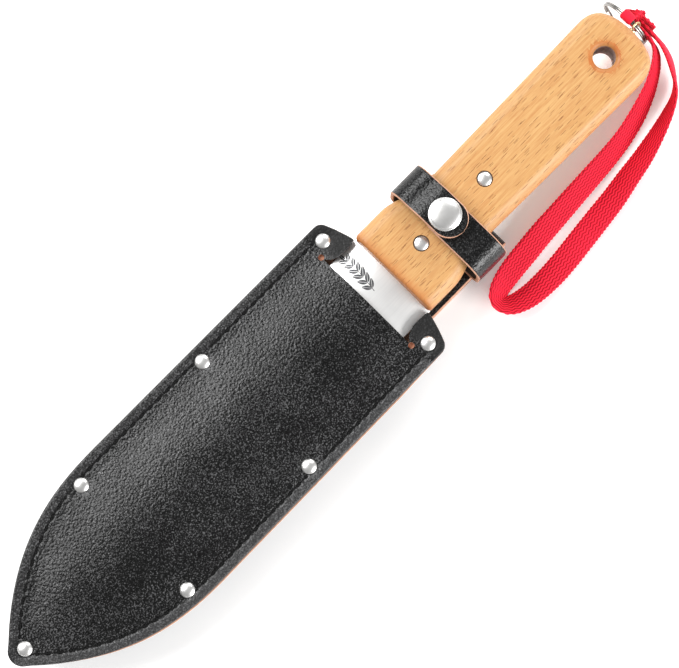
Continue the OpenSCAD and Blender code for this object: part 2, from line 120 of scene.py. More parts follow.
class Nodes:
    """A short way to write a node material."""

    def __init__(self, name):
        self.material = bpy.data.materials.new(name)
        self.material.use_nodes = True
        self.tree = self.material.node_tree
        self.shader = self.tree.nodes["Principled BSDF"]
        self.coord = self.tree.nodes.new("ShaderNodeTexCoord").outputs["Object"]

    def add(self, kind, links, **values):
        """A node, with its inputs linked or given a value, and its own settings."""
        n = self.tree.nodes.new(kind)
        for key, value in values.items():
            if key in ("operation", "bands_direction"):
                setattr(n, key, value)
            else:
                n.inputs[key.replace("_", " ")].default_value = value
        for key, source in links.items():
            self.tree.links.new(source, n.inputs[key])
        return n

    def feed(self, socket, value):
        """Gives an input a number, a color or a link."""
        if isinstance(value, (int, float)):
            socket.default_value = value
        elif isinstance(value, tuple):
            socket.default_value = (*value, 1)
        else:
            self.tree.links.new(value, socket)

    def scaled(self, scale, rotate=(0, 0, 0)):
        """The object's coordinates times a scale, which is one number or one for each axis."""
        m = self.add("ShaderNodeMapping", {"Vector": self.coord})
        m.inputs["Scale"].default_value = scale if isinstance(scale, tuple) else (scale,) * 3
        m.inputs["Rotation"].default_value = rotate
        return m.outputs[0]

    def noise(self, scale, detail=3.0, rough=0.55, distortion=0.0):
        n = self.add("ShaderNodeTexNoise", {"Vector": self.scaled(scale)}, Scale=1.0, Detail=detail,
                     Roughness=rough, Distortion=distortion)
        return n.outputs["Fac"]

    def cells(self, vector):
        return self.add("ShaderNodeTexVoronoi", {"Vector": vector}, Scale=1.0).outputs["Distance"]

    def math(self, operation, a, b):
        n = self.tree.nodes.new("ShaderNodeMath")
        n.operation = operation
        self.feed(n.inputs[0], a)
        self.feed(n.inputs[1], b)
        return n.outputs[0]

    def weigh(self, a, share_a, b, share_b):
        """Sum of two values, each times its share."""
        return self.math("ADD", self.math("MULTIPLY", a, share_a), self.math("MULTIPLY", b, share_b))

    def ramp(self, value, stops):
        n = self.tree.nodes.new("ShaderNodeValToRGB")
        self.tree.links.new(value, n.inputs[0])
        while len(n.color_ramp.elements) < len(stops):
            n.color_ramp.elements.new(0.5)
        for e, (at, color) in zip(n.color_ramp.elements, stops):
            e.position = at
            e.color = (*color, 1)
        return n.outputs["Color"]

    def mix(self, factor, a, b):
        n = self.tree.nodes.new("ShaderNodeMix")
        n.data_type = "RGBA"
        for i, value in ((0, factor), (6, a), (7, b)):
            self.feed(n.inputs[i], value)
        return n.outputs[2]

    def attribute(self, name):
        n = self.tree.nodes.new("ShaderNodeAttribute")
        n.attribute_name = name
        return n.outputs["Fac"]

    def bump(self, height, distance):
        return self.add("ShaderNodeBump", {"Height": height}, Strength=1.0, Distance=distance).outputs[0]

    def set(self, **values):
        """Feeds the shader's inputs and returns the material."""
        for key, value in values.items():
            self.feed(self.shader.inputs[key.replace("_", " ")], value)
        return self.material


def leather(name, dark, light, cell, depth, rough, crease):
    """Pebbled leather. Pale dots in its colour are painted glints of the grain. One attribute paints shade
    into the needle holes and the stitch groove and darkens the ears; another paints a grey sheen on the flat
    border.
    """
    n = Nodes(name)
    warp = n.noise(420, 3)
    spread = n.add("ShaderNodeVectorMath", {0: n.scaled(cell), 1: warp}, operation="ADD").outputs[0]
    pebbles = n.cells(spread)
    fine = n.noise(cell * 1.3, 2, 0.55)
    broad = n.noise((38, 60, 60), 3)
    height = n.weigh(pebbles, -0.8, fine, crease)
    # painted glints: pale dots in the colour stand in for light caught by the grain
    painted_glints = n.noise(cell * 1.8, 2, 0.6)
    tone = n.weigh(painted_glints, 0.85, broad, 0.15)
    color = n.ramp(tone, [(0.515, dark), (0.66, light)])
    # painted sheen: the flat border is mixed toward grey, broken up by the glint dots
    color = n.mix(n.math("MULTIPLY", n.attribute("border_sheen"), painted_glints), color, (0.13, 0.13, 0.132))
    # painted shade in the needle holes and along the stitch groove; the ears are made near black as well
    color = n.mix(n.attribute("painted_shade"), color, (0.002, 0.002, 0.002))
    gloss = n.math("ADD", n.math("MULTIPLY", fine, 0.44), rough - 0.22)
    gloss = n.math("ADD", gloss, n.math("MULTIPLY", n.attribute("painted_shade"), 0.4))
    return n.set(Base_Color=color, Roughness=gloss, Specular_IOR_Level=0.34, Normal=n.bump(height, depth))


def raw_edge(name, low, high):
    """Cut edge of leather: fibrous and pale."""
    n = Nodes(name)
    fibre = n.noise((900, 900, 2600), 4, 0.7)
    patch = n.noise(60, 2)
    tone = n.weigh(fibre, 0.6, patch, 0.4)
    return n.set(Base_Color=n.ramp(tone, [(0.35, low), (0.65, high)]), Roughness=0.75,
                 Normal=n.bump(fibre, 0.00012))


def beech():
    """Pale wood with fine streaks and short dark flecks. The attribute rim paints shade on its rounded ends,
    on its flat sides and round the hanging hole.
    """
    n = Nodes("beech")
    rings = n.noise((7, 150, 70), 3, 0.5, distortion=0.4)
    streaks = n.noise((22, 1000, 700), 4, 0.65)
    flecks = n.cells(n.scaled((125, 2300, 420)))
    chosen = n.noise((90, 420, 300), 2)
    dash = n.math("MULTIPLY", n.math("LESS_THAN", flecks, 0.19), n.math("GREATER_THAN", chosen, 0.28))
    soft = n.noise((170, 2400, 1900), 3)
    base = n.mix(rings, (0.515, 0.28, 0.097), (0.61, 0.39, 0.170))
    base = n.mix(n.math("MULTIPLY", n.math("SUBTRACT", streaks, 0.34), 1.8), base, (0.44, 0.19, 0.054))
    base = n.mix(n.math("MULTIPLY", n.math("SUBTRACT", soft, 0.40), 1.5), base, (0.36, 0.13, 0.035))
    base = n.mix(n.math("MULTIPLY", dash, 0.72), base, (0.24, 0.075, 0.02))
    # painted shade, from the attribute rim
    base = n.mix(n.attribute("rim"), base, (0.42, 0.13, 0.028))
    height = n.math("SUBTRACT", n.math("MULTIPLY", streaks, 0.5), dash)
    return n.set(Base_Color=base, Roughness=n.math("ADD", n.math("MULTIPLY", streaks, 0.16), 0.40),
                 Specular_IOR_Level=0.4, Normal=n.bump(height, 0.00008))


def hole_wall():
    """Wood inside the hanging hole, darker and greyer than the handle's outside, with the rings a drill
    leaves.
    """
    n = Nodes("beech_hole_wall")
    rings = n.add("ShaderNodeTexWave", {"Vector": n.scaled((15, 15, 520))}, bands_direction="Z", Scale=0.32,
                  Distortion=1.5, Detail=2.0).outputs["Fac"]
    grain = n.noise((700, 700, 300), 3)
    tone = n.weigh(rings, 0.5, grain, 0.5)
    return n.set(Base_Color=n.ramp(tone, [(0.3, (0.19, 0.105, 0.085)), (0.7, (0.40, 0.27, 0.235))]),
                 Roughness=0.7, Normal=n.bump(grain, 0.0001))


def metal(name, low, high, rough, scratch=900, depth=0.000004, metallic=1.0):
    n = Nodes(name)
    marks = n.noise(scratch, 4, 0.65)
    haze = n.noise(90, 2)
    tone = n.weigh(marks, 0.5, haze, 0.5)
    return n.set(Base_Color=n.ramp(tone, [(0.3, low), (0.7, high)]), Metallic=metallic,
                 Roughness=n.math("ADD", n.math("MULTIPLY", tone, 0.12), rough - 0.06),
                 Normal=n.bump(marks, depth))


def webbing(name, deep, high):
    """Woven cloth. The attribute weave is the height of the weave, and its hollows get painted shade."""
    n = Nodes(name)
    height = n.attribute("weave")
    fuzz = n.noise(2600, 3, 0.7)
    patch = n.noise(90, 2)
    # painted shade: colour follows the weave's height, darker in its hollows
    tone = n.math("ADD", n.math("MULTIPLY", height, 0.72), n.weigh(fuzz, 0.2, patch, 0.12))
    return n.set(Base_Color=n.ramp(tone, [(0.30, deep), (0.72, high)]), Roughness=0.8, Sheen_Weight=0.06,
                 Sheen_Roughness=0.4, Specular_IOR_Level=0.2, Normal=n.bump(fuzz, 0.00010))


def thread(name, low, high):
    n = Nodes(name)
    twist = n.add("ShaderNodeTexWave", {"Vector": n.scaled(1, (0, 0, 0.8))}, Scale=560.0,
                  Distortion=2.0, Detail=1.0).outputs["Fac"]
    fuzz = n.noise(3000, 2)
    tone = n.weigh(twist, 0.6, fuzz, 0.4)
    return n.set(Base_Color=n.ramp(tone, [(0.25, low), (0.75, high)]), Roughness=0.7,
                 Specular_IOR_Level=0.15, Normal=n.bump(twist, 0.00008))


def floor_material():
    n = Nodes("floor_paper")
    tone = n.noise(30, 3)
    return n.set(Base_Color=n.ramp(tone, [(0.3, (0.92, 0.92, 0.92)), (0.7, (0.94, 0.94, 0.94))]),
                 Roughness=0.95, Specular_IOR_Level=0.1, Emission_Color=(1.0, 1.0, 1.0),
                 Emission_Strength=0.22)


GRAIN = leather("sheath_leather", (0.0008, 0.0008, 0.0008), (0.092, 0.092, 0.094), 1000, 0.00017, 0.275, 0.9)
STRAP_LEATHER = leather("strap_leather", (0.0008, 0.0008, 0.0008), (0.055, 0.055, 0.056), 1050, 0.00012,
                        0.28, 0.9)
FLESH = leather("leather_flesh_side", (0.05, 0.045, 0.042), (0.11, 0.10, 0.095), 2400, 0.00008, 0.75, 1.2)
TAN = raw_edge("leather_cut_edge", (0.36, 0.17, 0.10), (0.66, 0.38, 0.26))
DARK_EDGE = raw_edge("leather_dark_edge", (0.02, 0.017, 0.016), (0.06, 0.05, 0.045))
BEECH = beech()
HOLE = hole_wall()
NICKEL = metal("polished_nickel", (0.84, 0.83, 0.81), (0.97, 0.965, 0.95), 0.34, 350, 0.0000012)
RING_METAL = metal("ring_wire", (0.17, 0.165, 0.155), (0.36, 0.35, 0.33), 0.26, 350, 0.0000012)
DARK_GAP = metal("counterbore_shadow", (0.10, 0.05, 0.03), (0.18, 0.09, 0.05), 0.6, depth=0.00002,
                 metallic=0.0)
STEEL = metal("satin_steel", (0.84, 0.84, 0.835), (0.94, 0.94, 0.93), 0.36, (60, 1800, 400), 0.000006, 0.72)
ETCH = metal("etched_mark", (0.05, 0.05, 0.055), (0.13, 0.13, 0.135), 0.55, 400, 0.00001, 0.6)
BRASS = metal("brassed_steel", (0.42, 0.30, 0.15), (0.72, 0.58, 0.34), 0.3)
SPRING = metal("spring_steel", (0.32, 0.32, 0.32), (0.5, 0.5, 0.5), 0.35)
RED = webbing("red_webbing", (0.36, 0.002, 0.010), (1.0, 0.022, 0.060))
RED_THREAD = thread("red_thread", (0.22, 0.0, 0.006), (0.62, 0.004, 0.018))
BLACK_THREAD = thread("black_thread", (0.0008, 0.0008, 0.0008), (0.006, 0.006, 0.006))


# ---- Mesh helpers ----

def piece(name, verts, faces, materials, body, nodes=(), marks=None, sharp=38, merge=True,
          attributes=None):
    """A mesh piece from points in millimetres. marks gives the material number of each face."""
    me = bpy.data.meshes.new(name)
    v = np.asarray(verts, float).copy()
    v[:, 0] -= MID_X
    me.from_pydata((v * MM).tolist(), [], [list(map(int, f)) for f in faces])
    for m in materials:
        me.materials.append(m)
    if marks is not None:
        me.polygons.foreach_set("material_index", np.asarray(marks, np.int32))
    for key, values in (attributes or {}).items():
        me.attributes.new(key, "FLOAT", "POINT").data.foreach_set("value", np.asarray(values, np.float32))
    ob = bpy.data.objects.new(name, me)
    bpy.context.collection.objects.link(ob)
    if merge:
        bm = bmesh.new()
        bm.from_mesh(me)
        bmesh.ops.remove_doubles(bm, verts=bm.verts, dist=2e-6)
        bmesh.ops.recalc_face_normals(bm, faces=bm.faces)
        bm.to_mesh(me)
        bm.free()
    shade(me, sharp)
    if body is not None:
        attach(ob, body)
    if nodes:
        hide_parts(*nodes)
    return ob


def shade(mesh, sharp):
    """Smooth shading, with a crease where faces meet at more than this angle."""
    mesh.polygons.foreach_set("use_smooth", [True] * len(mesh.polygons))
    mesh.set_sharp_from_angle(angle=math.radians(sharp))


def grid_faces(rows, cols, closed=False, start=0):
    """Quads of a rows x cols grid of points, joined up round the columns if closed."""
    i, j = np.meshgrid(np.arange(rows - 1), np.arange(cols if closed else cols - 1), indexing="ij")
    k = (j + 1) % cols
    corners = [i * cols + j, i * cols + k, (i + 1) * cols + k, (i + 1) * cols + j]
    return np.stack(corners, -1).reshape(-1, 4) + start


def tube(sections):
    """Points and faces of a tube through an array of sections, each a closed loop, with its ends closed."""
    s = np.asarray(sections, float)
    rows, cols = s.shape[:2]
    faces = grid_faces(rows, cols, True).tolist()
    faces.append(list(range(cols))[::-1])
    faces.append(list(range((rows - 1) * cols, rows * cols)))
    return s.reshape(-1, 3), faces


def arc(c, r, a0, a1, n):
    """Points on a circle round c, from one angle in degrees to the other."""
    t = np.radians(np.linspace(a0, a1, n))
    return np.stack([c[0] + r * np.cos(t), c[1] + r * np.sin(t)], 1)


def resample(points, step):
    """Even steps along a polyline. Values after the third are carried along."""
    p = np.asarray(points, float)
    keep = np.r_[True, np.linalg.norm(np.diff(p[:, :3], axis=0), axis=1) > 1e-6]
    p = p[keep]
    s = np.r_[0, np.cumsum(np.linalg.norm(np.diff(p[:, :3], axis=0), axis=1))]
    n = max(2, int(round(s[-1] / step)) + 1)
    t = np.linspace(0, s[-1], n)
    return np.stack([np.interp(t, s, p[:, k]) for k in range(p.shape[1])], 1), t


def smooth_line(points, step):
    """Catmull-Rom curve through the points, in even steps."""
    p = np.asarray(points, float)
    q = np.vstack([2 * p[0] - p[1], p, 2 * p[-1] - p[-2]])
    out = []
    for i in range(1, len(q) - 2):
        for t in np.linspace(0, 1, 12, endpoint=False):
            a, b, c, d = q[i - 1], q[i], q[i + 1], q[i + 2]
            out.append(0.5 * (2 * b + (c - a) * t + (2 * a - 5 * b + 4 * c - d) * t * t
                              + (3 * b - a - 3 * c + d) * t ** 3))
    out.append(p[-1])
    return resample(out, step)


def left_of(line):
    """Unit vectors square to a plane line, on its left."""
    tangent = np.gradient(line, axis=0)
    tangent /= np.linalg.norm(tangent, axis=1)[:, None]
    return np.stack([-tangent[:, 1], tangent[:, 0]], 1)


def lathe(profile, places, turns=48, flip=False):
    """Copies of a turned shape, whose profile is a list of (radius, height). flip turns it over."""
    p = np.asarray(profile, float)
    a = np.linspace(0, 2 * math.pi, turns, endpoint=False)
    verts, faces = [], []
    for place in places:
        ring = np.stack([np.outer(p[:, 0], np.cos(a)), np.outer(p[:, 0], np.sin(a)),
                         np.repeat((-p[:, 1] if flip else p[:, 1])[:, None], turns, 1)], -1)
        start = len(verts)
        verts += (ring.reshape(-1, 3) + np.asarray(place, float)).tolist()
        faces += grid_faces(len(p), turns, True, start).tolist()
    return verts, faces


def bulge(verts, faces, more_verts, more_faces):
    """Adds a second mesh's points and faces to the first's."""
    start = len(verts)
    verts = list(map(list, verts)) + list(map(list, more_verts))
    faces = list(map(list, faces)) + [[i + start for i in f] for f in more_faces]
    return verts, faces


# ---- Shapes shared with the CAD ----

def ogive(x, x0, length, half):
    """Half width of a pointed outline that starts at x0 and reaches its full width after length."""
    return half * (1 - np.power(1 - np.clip((x - x0) / length, 0, 1), 2.45))


def sheath_half(x):
    x = np.asarray(x, float)
    return ogive(x, 5.5 / 3 - 76.8 * 0.048, 76.8, 33.1) - 0.006 * np.maximum(0, x - 75)


def swell(x):
    """How far the dish of the blade has risen, from 0 at the tip to 1."""
    return 1 - np.power(1 - np.clip((x - TIP_X) / 75, 0, 1), 2)


def blade_half(x):
    return ogive(np.asarray(x, float), TIP_X, 62, BLADE_HALF)


def stitch_list():
    """Middle and lean of each stitch on the +Y side, closer together round the tip."""
    tip = [6.5, 9.5, 12.8, 16.3, 20, 24, 28, 32, 36.2, 40.4, 44.6, 49, 53.4]
    out = []
    for x in tip + list(np.arange(57.8, MOUTH + 0.01, 4.4)):
        slope = float(sheath_half(x + 1) - sheath_half(x - 1))
        lean = math.atan2(slope, 2)
        y = float(sheath_half(x)) - 4 / math.cos(lean)
        if y > 3 and min(math.hypot(x - a, y - b) for a, b in RIVETS) > 2.85 + 1.9:
            out.append((x, y, lean))
    return out


STITCHES = stitch_list() + [(x, -y, -lean) for x, y, lean in stitch_list()]
HOLES = np.array([(x + end * math.cos(lean), y + end * math.sin(lean)) for x, y, lean in STITCHES
                  for end in (-1.75, 1.75)])


# ---- Webbing ----

ROUTE = [
    (324.1, 3.5, 12.2, 90), (324.1, 0, 12, 90), (324.2, -3.5, 11.8, 85), (324.1, -7, 11.4, 81),
    (322.6, -11, 10.4, 72), (319.2, -14.5, 9, 66), (314.5, -17.5, 7.5, 62), (309, -20, 6, 55),
    (301.5, -22.5, 5, 48), (292.5, -24.5, 4.4, 45), (283, -25.5, 4, 40), (274, -26, 3.8, 36),
    (264.5, -26.5, 3.5, 32), (255.5, -27, 3.2, 28), (246, -27.5, 2.9, 24), (237, -28.3, 2.8, 22),
    (228, -29.2, 3, 26), (221, -30.6, 3.7, 38), (217.3, -32.8, 4.2, 46), (217, -35.7, 4.1, 45),
    (220, -38.5, 3.5, 34), (227, -40.5, 2.6, 22), (237, -41, 1.9, 12), (246, -40.5, 1.5, 6),
    (255.5, -39.5, 1.5, 6), (265, -38.5, 2, 12), (274, -37.5, 2.6, 20), (283, -36, 3.2, 30),
    (292.5, -34.5, 3.9, 40), (303, -32, 4.8, 56), (311, -29.5, 5.4, 70), (316.5, -27, 5.8, 84),
    (320, -24, 6.2, 96), (322.5, -20.5, 7, 104), (324.5, -16.5, 8.5, 108), (325.8, -12, 10.2, 106),
    (326.2, -8, 11.3, 102), (326.1, -4, 11.9, 96), (325.9, 0, 12, 90), (325.9, 3.5, 12.2, 90)]


def webbing_strip(route, width, thick, taper=None):
    """Points, faces and weave height of a woven strip along a route of (x, y, z, lean)."""
    line, s = smooth_line(route, 0.42)
    n = len(line)
    t = np.gradient(line[:, :3], axis=0)
    t /= np.linalg.norm(t, axis=1)[:, None]
    flat = np.stack([t[:, 1], -t[:, 0], np.zeros(n)], 1)
    flat /= np.maximum(np.linalg.norm(flat, axis=1), 1e-6)[:, None]
    up = np.cross(flat, t)
    lean = np.radians(line[:, 3])[:, None]
    across = flat * np.cos(lean) + up * np.sin(lean)
    face = np.cross(t, across)
    v = np.linspace(-1, 1, 27)
    w = np.full(n, width / 2) if taper is None else width / 2 * taper(s)
    cords = 8
    zig = 2.5
    wave = 2 * np.abs((s / zig) % 1 - 0.5)
    pattern = np.sin(2 * math.pi * (cords / 2 * v[None, :] + 0.62 * wave[:, None]))
    picks = np.cos(2 * math.pi * s / zig * 2)[:, None] * 0.25
    round_off = np.sqrt(np.clip(1 - np.abs(v) ** 7, 0, 1))[None, :]
    bumps = 0.17 * pattern + 0.12 * picks * np.cos(2 * math.pi * cords / 2 * v)[None, :]
    edge = 1 + 0.035 * np.sin(2 * math.pi * s / 1.6)[:, None] * (np.abs(v) > 0.85)[None, :]
    verts, heights = [], []
    for sign in (1, -1):
        order = v if sign > 0 else v[::-1]
        b = bumps if sign > 0 else bumps[:, ::-1]
        e = edge if sign > 0 else edge[:, ::-1]
        lift = sign * ((thick / 2 - 0.13) * round_off + b * round_off)
        ring = (line[:, None, :3] + across[:, None, :] * (order[None, :] * w[:, None] * e)[..., None]
                + face[:, None, :] * lift[..., None])
        verts.append(ring)
        heights.append(np.clip(0.5 + b / 0.36, 0, 1))
    sections = np.concatenate(verts, 1)
    return tube(sections) + (np.concatenate(heights, 1).ravel(),)


def lanyard():
    """The webbing loop, the short turn round the ring's wire with its sewn end, and the bar tacks."""
    verts, faces, height = webbing_strip(ROUTE, WEB_W, WEB_T)
    strip = piece("lanyard_webbing", verts, faces, [RED], "tether", ["lanyard"], sharp=60,
                  merge=False,
                  attributes={"weave": height})
    a = np.radians(np.linspace(-80, 260, 22))
    verts, faces, height = wrap_band(np.stack([RING_X + 0.35 + 1.55 * np.cos(a), np.full(22, 4.7),
                                               20.55 + 1.5 * np.sin(a)], 1))
    for x0, spread in ((324.1, 0.0), (325.9, 0.35), (327.4, 1.0)):
        riser = [(x0, 2.2, 12.3, 90), (x0 - 0.1, 3.2, 14.2, 90), (x0 - 0.3 - spread, 4.2, 17.4, 90),
                 (x0 - 0.6 - spread, 4.6, 19.9, 90)]
        if x0 > 327:
            riser = [(327.6, -5.0, 13.6, 93), (327.5, -1.5, 13.8, 92), (327.2, 2.0, 14.6, 90)] + riser[1:]
        v, f, h = webbing_strip(riser, 9.0, 1.3, taper=lambda s: 1 - 0.42 * np.clip(s / s[-1], 0, 1) ** 1.5)
        verts, faces = bulge(verts, faces, v, f)
        height = np.r_[height, h]
    turn = piece("lanyard_turn", verts, faces, [RED], "tether", sharp=60, merge=False,
                 attributes={"weave": height})
    verts, faces = [], []
    for y in (-3.4, -1.2, 1.0, 3.2):
        for row in range(-3, 4):
            v, f = stitch_mesh((328.16, y, 13.9 + row), (0, 1, 0), (1, 0, 0), 0.7, 0.13)
            verts, faces = bulge(verts, faces, v, f)
    sewing = piece("lanyard_bar_tacks", verts, faces, [RED_THREAD], "tether",
                   ["lanyard_stitching"])


def wrap_band(path):
    """A short sleeve of webbing, five millimetres wide along Y, whose middle follows a path in X and Z."""
    t = np.gradient(path, axis=0)
    t /= np.linalg.norm(t, axis=1)[:, None]
    across = np.array([0, 1.0, 0])
    face = np.cross(t, across)
    v = np.linspace(-1, 1, 15)
    round_off = np.sqrt(np.clip(1 - np.abs(v) ** 6, 0, 1))
    ribs = np.tile(0.10 * np.sin(2 * math.pi * 3.5 * v), (len(path), 1))
    out, heights = [], []
    for sign in (1, -1):
        order = v[::sign]
        b = ribs[:, ::sign]
        out.append(path[:, None, :] + across * (order * 2.5)[None, :, None]
                   + face[:, None, :] * (sign * (0.55 * round_off[None, :] + b * round_off))[..., None])
        heights.append(0.5 + b / 0.25)
    verts, faces = tube(np.concatenate(out, 1))
    return verts, faces, np.concatenate(heights, 1).ravel()


def stitch_mesh(middle, along, up, half, radius, sink=0.35):
    """One stitch: a rounded thread that dips into its holes at both ends."""
    along, up = np.array(along, float), np.array(up, float)
    side = np.cross(up, along)
    a = np.linspace(0, 2 * math.pi, 8, endpoint=False)
    rows = []
    for q in np.linspace(-1, 1, 9):
        r = radius * math.sqrt(max(0.05, 1 - abs(q) ** 5)) * (1 + 0.08 * math.sin(9 * q))
        centre = np.array(middle) + along * half * q + up * (radius * 0.55 - sink * abs(q) ** 4)
        rows.append(centre + np.outer(np.cos(a), side) * r + np.outer(np.sin(a), up) * r)
    return tube(rows)


# ---- Sheath ----

EAR_SIDE = [(194.15, 18.7), (191.5, 18.3), (188.5, 18.25), (185.9, 18.6)]


def half_outline():
    """Dense outline of the sheath's +Y half, from its tip to the ear's inner corner."""
    nose = arc((5.5, 0), 5.5, 180, 123, 24)
    xs = np.r_[np.linspace(4.2, 20, 30), np.linspace(20.6, 80, 90), np.linspace(81, 187.3, 120)]
    side = np.stack([xs, sheath_half(xs)], 1)
    side = side[side[:, 1] > nose[-1, 1] + 0.1]
    y = float(sheath_half(187.5)) - 3.8
    ear = [tuple(side[-1])] + [tuple(p) for p in arc((187.5, y), 3.8, 80, 15, 5)] + [
        (192.4, 26.5), (193.6, 22.5), (194.3, 19.6), (194.15, 18.7)]
    ear = smooth_line([(*p, 0) for p in ear], 0.5)[0][:, :2]
    return np.vstack([nose, side[:-1], ear])


def closed_outline(shift=None):
    """The whole outline in even steps. shift gives how far each point is moved."""
    half = half_outline()
    other = half[::-1].copy()
    other[:, 1] *= -1
    line = np.vstack([half, other[:-1]])
    line = resample(np.vstack([line, line[:1]]), 0.62)[0][:-1]
    if shift is not None:
        line = line + shift(line)
    return line


def mirrored(upper):
    """An outline closed by its own mirror image in the middle line."""
    lower = upper[::-1].copy()
    lower[:, 1] *= -1
    return np.vstack([upper, lower])


def plate(outline, low, high, rim, depth_rows, mark_top, mark_side, mark_low):
    """A leather plate: rings of points from the outline in to its middle line, over and under.

    low and high give the heights of its faces, rim rounds its upper edge, and the marks number
    the materials of its top, side and underside."""
    n = len(outline)
    middle = np.stack([np.clip(outline[:, 0], 16, 172), np.zeros(n)], 1)
    inward = middle - outline
    length = np.linalg.norm(inward, axis=1)
    inward /= length[:, None]
    depths = [np.full(n, d) for d in (0, 0.05, 0.15, 0.32, 0.6)]
    depths += [0.6 + (length - 0.6) * f for f in np.linspace(0, 1, depth_rows)[1:]]
    rows = []
    for d in reversed(depths):
        ring = outline + inward * d[:, None]
        drop = np.where(d < rim, rim - np.sqrt(np.clip(rim ** 2 - (rim - d) ** 2, 0, None)), 0)
        rows.append(np.c_[ring, high(ring[:, 0], ring[:, 1], d) - drop])
    top_count = len(rows)
    side_top = rows[-1][:, 2]
    side_low = low(outline[:, 0], outline[:, 1]) + 0.3
    wall = []
    for f in (0.25, 0.5, 0.75):
        bow = 0.10 * math.sin(math.pi * f)
        wall.append(np.c_[outline - inward * bow, side_top * (1 - f) + side_low * f])
    under = []
    for d in (0, 0.15, 0.4, 6.0, None):
        ring = outline + inward * (d if d is not None else length[:, None])
        lift = max(0.0, 0.3 - (d or 1.0)) if d is not None else 0
        under.append(np.c_[ring, low(ring[:, 0], ring[:, 1]) + lift])
    sections = np.array(rows + wall + under)
    faces = grid_faces(len(sections), n, True)
    low_count = len(sections) - 1 - top_count - 3
    marks = np.repeat([mark_top] * (top_count - 3) + [mark_side] * 6 + [mark_low] * low_count, n)
    return sections.reshape(-1, 3), faces, marks


def dome(x, y, base):
    """Height of the front panel, which bulges over the dished blade."""
    reach = np.maximum(1.5, ogive(x, 7.5, 66, 27.6) - 0.006 * np.maximum(0, x - 75))
    t = np.minimum(1, np.abs(y) / reach)
    return base + (3.45 * swell(x) + 0.5 * np.clip((x - 12.8) / 4, 0, 1)) * np.cos(math.pi / 2 * t) ** 1.25


def pit_depth(x, y, d):
    """How far each point lies in a needle hole or in the groove between them, from 0 to 1."""
    pits = np.zeros_like(x)
    near = (d > 1.5) & (d < 7)
    if near.any():
        px, py = x[near][:, None], y[near][:, None]
        pits[near] = np.exp(-((px - HOLES[:, 0]) ** 2 + (py - HOLES[:, 1]) ** 2) / (2 * 0.40 ** 2)).sum(1)
    groove = np.exp(-((d - 4.0) / 0.5) ** 2) * np.clip((MOUTH - x) / 3, 0, 1)
    return np.minimum(1, pits), groove


def front_top(x, y, d):
    """Top of the front panel, sunk along the stitches and round the rivets."""
    z = dome(x, y, BORDER_TOP)
    pits, groove = pit_depth(x, y, d)
    z = z - 0.16 * groove - 0.75 * pits
    z = z + 0.10 * np.sin(x * 0.21 + 1) * np.sin(y * 0.16) * np.clip((d - 6) / 8, 0, 1)
    for rx, ry in RIVETS:
        q = np.hypot(x - rx, y - ry)
        z = np.where(q < 6, z - 0.35 * np.exp(-(q / 3.5) ** 6), z)
    return z


def ear_line(points):
    """Smooth inner side of an ear, from the line that leaves the sheath between the ears."""
    return np.vstack([[(205, 18.9)], smooth_line([(*p, 0) for p in EAR_SIDE + points], 0.4)[0][:, :2]])


def prism(name, outline, z0, z1, material):
    """A cutter with an upright outline between two heights."""
    n = len(outline)
    verts = np.vstack([np.c_[outline, np.full(n, z0)], np.c_[outline, np.full(n, z1)]])
    faces = [[i, (i + 1) % n, n + (i + 1) % n, n + i] for i in range(n)]
    faces += [list(range(n))[::-1], list(range(n, 2 * n))]
    return cutter(name, verts, faces, material)


def cutter(name, verts, faces, material):
    """A solid to be taken out of a piece, whose material is left on the cut."""
    me = bpy.data.meshes.new(name)
    v = np.asarray(verts, float).copy()
    v[:, 0] -= MID_X
    me.from_pydata((v * MM).tolist(), [], [list(map(int, f)) for f in faces])
    me.materials.append(material)
    bm = bmesh.new()
    bm.from_mesh(me)
    bmesh.ops.recalc_face_normals(bm, faces=bm.faces)
    bm.to_mesh(me)
    bm.free()
    ob = bpy.data.objects.new(name, me)
    bpy.context.collection.objects.link(ob)
    return ob


def cut(ob, tools, sharp=38):
    """Takes the tools out of the piece and throws them away. Their material stays on the new faces."""
    for tool in tools:
        m = ob.modifiers.new("cut", "BOOLEAN")
        m.operation = "DIFFERENCE"
        m.solver = "EXACT"
        m.material_mode = "TRANSFER"
        m.object = tool
    dg = bpy.context.evaluated_depsgraph_get()
    made = bpy.data.meshes.new_from_object(ob.evaluated_get(dg))
    ob.modifiers.clear()
    ob.data = made
    for tool in tools:
        bpy.data.objects.remove(tool)
    shade(made, sharp)


